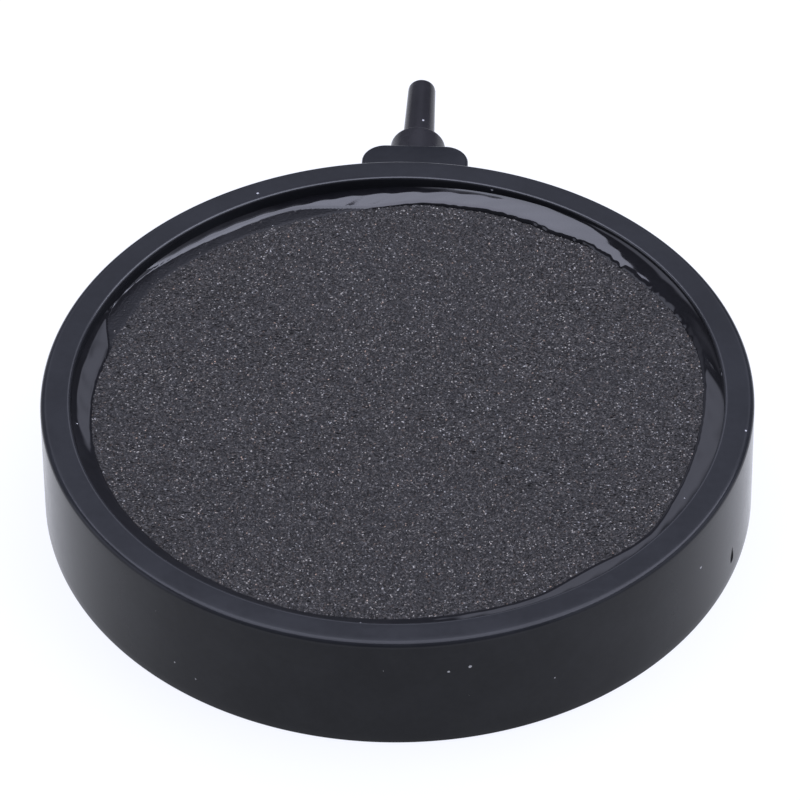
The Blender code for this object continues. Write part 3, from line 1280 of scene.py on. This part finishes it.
@dataclass
class SealantBead:
    """The bead poured round the disc: it climbs the wall and laps over the grains.

    Depths count down from the rim. From the crest the bead drops by its lip towards the disc. Where it
    climbs higher than its flat wall, a meniscus creeps up further, in full a steep span above it. The rings
    crowd towards the lip when their spacing is below 1. A film's share times the film onset, up to 1, says
    how far the film's depth and shoulder count. A lift also deepens the lip, by the lifted lip times the
    lift. The skirt is the hidden side between the disc and the wall.
    """

    around: int = 1440
    across: int = 28
    ring_spacing: float = 0.9
    crest_depth: float = 2.42 * MM
    lip_drop: float = 0.42 * MM
    lip_width: float = 0.85 * MM
    lifted_lip: float = 1.3
    least_climb: float = 0.3 * MM
    skirt_gap: float = 0.05 * MM
    skirt_top: float = 1.26 * MM
    skirt_depth: float = 1.8 * MM
    wall_bite: float = 0.02 * MM
    serration: float = 0.09 * MM
    serrations: int = 330
    film_depth: float = 0.18 * MM
    film_onset: float = 5.0
    shoulder: float = 0.20 * MM
    shoulder_width: float = 0.15 * MM
    swells: tuple[tuple[int, float, float], ...] = ((17, 0.014, 0.7), (29, 0.010, 2.0), (43, 0.007, 1.1))
    ripple: float = 0.010 * MM
    ripples: int = 61
    ripple_lean: float = 9.0
    meniscus: float = 0.17 * MM
    meniscus_width: float = 0.20 * MM
    flat_wall: float = 2.0 * MM
    steep_span: float = 0.8 * MM
    ragged_width: float = 0.9 * MM
    sharp_angle: float = 60.0

    def __post_init__(self) -> None:
        """Take the bead's place from the frame."""
        self.rim_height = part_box("housing")[1].z
        self.outer = Dish().rim_inner + self.wall_bite
        stone_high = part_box("stone_disc")[1]
        self.stone_radius = stone_high.x
        self.stone_top = stone_high.z

    def around_values(self, bearings: np.ndarray, name: str) -> np.ndarray:
        """Return a smooth run of one pour value round the bead.

        Args:
            bearings: where to read it, in degrees.
            name: which value of a pour point to read.

        Returns:
            The value at each bearing.
        """
        known = np.array([point.bearing for point in POUR])
        value = np.array([getattr(point, name) for point in POUR])
        known = np.concatenate([known - 360.0, known, known + 360.0])
        value = np.tile(value, 3)
        slot = np.searchsorted(known, bearings, side="right") - 1
        span = known[slot + 1] - known[slot]
        share = (bearings - known[slot]) / span
        before, here, there, after = (value[slot + k] for k in (-1, 0, 1, 2))
        slope_here = (there - before) / (known[slot + 1] - known[slot - 1]) * span
        slope_there = (after - here) / (known[slot + 2] - known[slot]) * span
        square, cube = share ** 2, share ** 3
        return (here * (2 * cube - 3 * square + 1) + slope_here * (cube - 2 * square + share)
                + there * (3 * square - 2 * cube) + slope_there * (cube - square))

    def ragged(self, angle: np.ndarray, random: np.random.Generator) -> np.ndarray:
        """Return the bead's uneven inner edge, where it runs between the grains.

        Args:
            angle: angles in radians.
            random: the source of the unevenness.

        Returns:
            A change of radius at each angle.
        """
        steps = random.uniform(-1.0, 1.0, self.serrations)
        place = angle / math.tau * self.serrations
        low = np.floor(place).astype(int)
        share = place - low
        share = share * share * (3 - 2 * share)
        fine = steps[low % self.serrations] * (1 - share) + steps[(low + 1) % self.serrations] * share
        slow = wave(angle, [(23, 0.4, 0.4), (37, 0.35, 1.7), (61, 0.3, 2.2)])
        return self.serration * (fine + 0.6 * slow)

    def surface(self, bearings: np.ndarray) -> tuple[list[np.ndarray], list[np.ndarray]]:
        """Return the bead's open surface, ring by ring from the wall inwards.

        Args:
            bearings: the bearings of each ring's points, in degrees.

        Returns:
            The rings of points, and where each ring only wets the grains.
        """
        random = np.random.default_rng(SEED + 1)
        angle = np.radians(bearings)
        inner, wall, power, film, lift, unevenness = (
            self.around_values(bearings, name)
            for name in ("inner_radius", "wall_depth", "climb_power", "film", "lift", "ragged"))
        film = np.clip(film, 0.0, 1.0)
        film_edge = inner + film * (self.outer - inner)
        filmed = np.clip(self.film_onset * film, 0.0, 1.0)
        shoulder = self.shoulder * filmed
        lip_drop = self.lip_drop + self.lifted_lip * lift
        meniscus = self.meniscus * np.clip((self.flat_wall - wall) / self.steep_span, 0.0, 1.0)
        ragged = self.ragged(angle, random) * unevenness
        swell = wave(angle, self.swells) * MM
        rings, thin = [], []
        for step in range(self.across + 1):
            share = 1.0 - (step / self.across) ** self.ring_spacing
            middle = math.sin(math.pi * share)
            radius = inner + (self.outer - inner) * share
            near_edge = np.clip(1.0 - (radius - inner) / self.ragged_width, 0.0, 1.0)
            lip = np.clip((radius - inner) / self.lip_width, 0.0, 1.0)
            past_film = np.clip(radius - film_edge, 0.0, None)
            climbed = past_film / np.maximum(self.outer - film_edge, self.least_climb)
            crest = self.crest_depth - lift + self.film_depth * filmed
            crest = crest - shoulder * np.clip(past_film / self.shoulder_width, 0.0, 1.0)
            depth = crest + (wall - crest) * np.clip(climbed, 0.0, 1.0) ** power
            depth += lip_drop * (1 - np.sqrt(1 - (1 - lip) ** 2)) + swell * middle
            depth += self.ripple * np.sin(self.ripples * angle + self.ripple_lean * share) * middle
            depth -= meniscus * np.exp((radius - self.outer) / self.meniscus_width)
            thin.append(radius < film_edge)
            rings.append(ring_at(angle, radius + ragged * near_edge, self.rim_height - depth))
        return rings, thin

    def build(self, thick: Material, thin_film: Material) -> Piece:
        """Build and dress the bead.

        Args:
            thick: the finish where the sealant lies thick.
            thin_film: the finish where it only wets the grains.

        Returns:
            The finished piece.
        """
        bearings = np.linspace(0.0, 360.0, self.around, endpoint=False)
        rings, thin = self.surface(bearings)
        skirt = self.stone_radius + self.skirt_gap
        top, bottom = self.stone_top - self.skirt_top, self.stone_top - self.skirt_depth
        for radius, height in ((skirt, top), (skirt, bottom), (self.outer, bottom)):
            rings.append(ring_at(np.radians(bearings), radius, height))
            thin.append(np.zeros(self.around, bool))
        faces = ring_faces(len(rings), self.around, closed=True)
        bead = new_piece("poured_sealant", np.concatenate(rings), faces)
        soften(bead, self.sharp_angle)
        dress(bead, thick, thin_film)
        bead.data.polygons.foreach_set("material_index", np.concatenate(thin).astype(int))
        return settle(bead, ["sealant_bead"])


@dataclass
class InletNipple:
    """The hose nipple: collar, tapered tube, spigot and the air way."""

    collar_round: float = 0.42 * MM
    root_round: float = 0.25 * MM
    tube_root: float = 2.58 * MM
    tube_tip: float = 2.22 * MM
    tip_round: float = 0.6 * MM
    collar_length: float = 6.85 * MM
    spigot_radius: float = 2.8 * MM
    spigot_length: float = 7.0 * MM
    bore_radius: float = 1.3 * MM
    bore_chamfer: float = 0.15 * MM
    seam_height: float = 0.035 * MM
    seam_spread: float = 2.5
    sharp_angle: float = 35.0
    around: int = 120

    def __post_init__(self) -> None:
        """Take the nipple's place from the frame."""
        low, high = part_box("inlet_nipple")
        self.collar_radius = (high.x - low.x) / 2
        self.tip = high.y
        self.axis_height = (low.z + high.z) / 2
        self.back = low.y + self.spigot_length
        self.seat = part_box("housing")[1].y

    def section(self) -> Profile:
        """Draw the nipple's section.

        Returns:
            Its points, from the tip down the outside and back up the bore.
        """
        length, seat = self.tip - self.back, self.seat - self.back
        shoulder, collar = self.collar_length, self.collar_radius
        bore, tip, root = self.bore_radius, self.tube_tip, self.tube_root
        rim, tip_round, root_round = self.collar_round, self.tip_round, self.root_round
        points = [(bore + self.bore_chamfer, length)]
        points += arc((tip - tip_round, length - tip_round), tip_round, 90, 4, 8)
        points += stretch((tip, length - tip_round), (root, shoulder + root_round), 12)
        points += arc((root + root_round, shoulder + root_round), root_round, 180, 270, 5)
        points += arc((collar - rim, shoulder - rim), rim, 90, 0, 8)
        points += stretch((collar, shoulder - rim), (collar, seat), 6)
        points += [(collar, seat), (self.spigot_radius, seat)]
        points += [(self.spigot_radius, -self.spigot_length), (bore, -self.spigot_length)]
        points.append((bore, length - self.bore_chamfer))
        return points

    def seam(self, points: np.ndarray) -> np.ndarray:
        """Raise the mould's parting line along both sides of the nipple.

        Args:
            points: the nipple's points.

        Returns:
            The points with the seam raised.
        """
        x, z = points[:, 0], points[:, 2] - self.axis_height
        radius = np.hypot(x, z)
        side = np.abs(np.degrees(np.arctan2(z, np.abs(x))))
        outside = radius > self.tube_tip - self.tip_round
        ridge = self.seam_height * np.exp(-(side / self.seam_spread) ** 2)
        grow = 1.0 + np.where(outside, ridge / radius, 0.0)
        return np.c_[x * grow, points[:, 1], z * grow + self.axis_height]

    def build(self, plastic: Material) -> Piece:
        """Build and dress the nipple.

        Args:
            plastic: the nipple's finish.

        Returns:
            The finished piece.
        """
        origin = Vector((0.0, self.back, self.axis_height))
        nipple = turn("hose_nipple", self.section(), self.around, Axis.INLET, origin)
        reshape(nipple, self.seam)
        soften(nipple, self.sharp_angle)
        dress(nipple, plastic)
        return settle(nipple, ["inlet_nipple"])


@dataclass
class HiddenAdhesives:
    """The bedding ring and the nipple's bond sleeve, which keep the frame's shapes."""

    def dress(self, shared: SharedEffects) -> None:
        """Give both hidden pieces their finishes.

        Args:
            shared: the shared node groups.
        """
        finishes = {
            "bedding_ring": CuredAdhesive("bed_adhesive_finish", (0.03, 0.03, 0.032)),
            "nipple_bond_sleeve": CuredAdhesive("sleeve_adhesive_finish", (0.05, 0.05, 0.052), 0.24),
        }
        for node, finish in finishes.items():
            dress(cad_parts[node], finish.build(shared))
            log.info("%s: carried over with %s", node, finish.name)


@dataclass(frozen=True)
class Softbox:
    """A level softbox; its edges are given as shares of its height above the object."""

    name: str
    left: float
    right: float
    front: float
    back: float
    radiance: float
    height: float = 1.0


@dataclass(frozen=True)
class Panel:
    """A far panel: bearings from the back towards the right, elevations, light and soft edge."""

    turn: tuple[float, float]
    rise: tuple[float, float]
    strength: float
    edge: float


@dataclass
class Studio:
    """Floor, light and camera."""

    floor_radius: float = 4.0
    floor_gap: float = 0.05 * MM
    camera_distance: float = 0.64567
    camera_elevation: float = 42.695
    camera_bearing: float = 3.1
    aim_drop: float = 0.160
    aim_right: float = 0.049
    roll: float = -0.565
    lens: float = 193.83
    tint: Colour = (0.915, 0.945, 1.165)
    room_light: float = 0.13
    boxes: tuple[Softbox, ...] = (
        Softbox("key_softbox", -0.58, 0.35, -0.30, 0.83, 3.9),
        Softbox("right_softbox", 0.35, 0.85, -0.30, 0.83, 5.0),
    )
    panels: tuple[Panel, ...] = (
        Panel((-24.0, 22.0), (36.0, 47.0), 1.15, 4.0),
        Panel((-62.0, -20.0), (4.0, 36.0), 0.25, 4.0),
        Panel((-120.0, -74.0), (4.0, 40.0), 1.2, 4.0),
        Panel((62.0, 130.0), (8.0, 40.0), 0.95, 5.0),
    )

    def floor(self) -> Piece:
        """Lay a large pale floor under the object.

        Returns:
            The floor.
        """
        points = [at_bearing(b, self.floor_radius, -self.floor_gap) for b in range(0, 360, 5)]
        floor = new_piece("studio_floor", np.array([tuple(p) for p in points]), [tuple(range(len(points)))])
        dress(floor, StudioFloor().build())
        return floor

    def panel(self, write: Shader, turned: object, risen: object, panel: Panel) -> Socket:
        """Return the light of one soft-edged panel in the surroundings.

        Args:
            write: the writer of the world's tree.
            turned: the direction's bearing from the back towards the right, in degrees.
            risen: the direction's elevation, in degrees.
            panel: where the panel lies and how bright it is.

        Returns:
            The panel's strength in that direction.
        """
        inside = write.within(turned, *panel.turn, panel.edge)
        level = write.within(risen, *panel.rise, panel.edge)
        return write.times(write.times(inside, level), panel.strength)

    def world(self) -> None:
        """Fill the surroundings: a dim room with a few soft-edged reflecting panels."""
        world = bpy.data.worlds.new("studio")
        world.use_nodes = True
        write = Shader(world.node_tree)
        background = world.node_tree.nodes["Background"]
        parts = write.split("ShaderNodeSeparateXYZ", write.node("ShaderNodeTexCoord").outputs["Generated"])
        turned = write.math("DEGREES", write.math("ARCTAN2", parts["X"], parts["Y"]))
        risen = write.math("DEGREES", write.math("ARCSINE", parts["Z"]))
        total: object = self.room_light
        for panel in self.panels:
            total = write.math("ADD", total, self.panel(write, turned, risen, panel))
        background.inputs["Color"].default_value = opaque(self.tint)
        write.feed(background.inputs["Strength"], total)
        bpy.context.scene.world = world

    def softboxes(self) -> None:
        """Hang the softboxes above the object, facing down."""
        for box in self.boxes:
            wide, deep = box.right - box.left, box.back - box.front
            light = bpy.data.lights.new(box.name, "AREA")
            light.shape = "RECTANGLE"
            light.size, light.size_y = wide * box.height, deep * box.height
            light.energy = box.radiance * math.pi * light.size * light.size_y
            light.color = self.tint
            lamp = bpy.data.objects.new(box.name, light)
            across, along = box.left + wide / 2, box.front + deep / 2
            lamp.location = (across * box.height, along * box.height, box.height)
            bpy.context.scene.collection.objects.link(lamp)

    def camera(self) -> None:
        """Set the camera up, looking down at the front of the dish."""
        rim = Vector((0.0, 0.0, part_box("housing")[1].z))
        angle, rise = math.radians(self.camera_bearing), math.radians(self.camera_elevation)
        away = Vector((math.sin(angle) * math.cos(rise), -math.cos(angle) * math.cos(rise), math.sin(rise)))
        look = math.radians(self.camera_elevation + self.aim_drop)
        heading = angle - math.radians(self.aim_right)
        data = bpy.data.cameras.new("camera")
        data.lens = self.lens
        data.sensor_width = 36.0
        data.clip_start, data.clip_end = 0.05, 20.0
        camera = bpy.data.objects.new("camera", data)
        bpy.context.scene.collection.objects.link(camera)
        turn_to = Euler((math.pi / 2 - look, 0.0, heading)).to_matrix().to_4x4()
        spin = Matrix.Rotation(math.radians(self.roll), 4, "Z")
        camera.matrix_world = Matrix.Translation(rim + away * self.camera_distance) @ turn_to @ spin
        bpy.context.scene.camera = camera

    def build(self) -> None:
        """Build the whole studio."""
        self.floor()
        self.world()
        self.softboxes()
        self.camera()
        bpy.context.scene.view_settings.view_transform = "Standard"


def main() -> None:
    """Build every sub-assembly in order."""
    logging.basicConfig(level=logging.INFO, format="%(name)s: %(message)s")
    shared = SharedEffects.build()
    Studio().build()
    dish_plastic = MouldedPlastic("dish_plastic")
    nipple_plastic = MouldedPlastic("nipple_plastic", colour=(0.0190, 0.0185, 0.0205), roughness=0.26)
    Dish().build(dish_plastic.build(shared))
    StoneDisc().build(BondedGrain().build(shared))
    film = WetSealant("thin_sealant_film", roughness=0.34, ior=1.26, grain_depth=0.00008)
    SealantBead().build(WetSealant().build(shared), film.build(shared))
    InletNipple().build(nipple_plastic.build(shared))
    HiddenAdhesives().dress(shared)


if __name__ == "__main__":
    main()
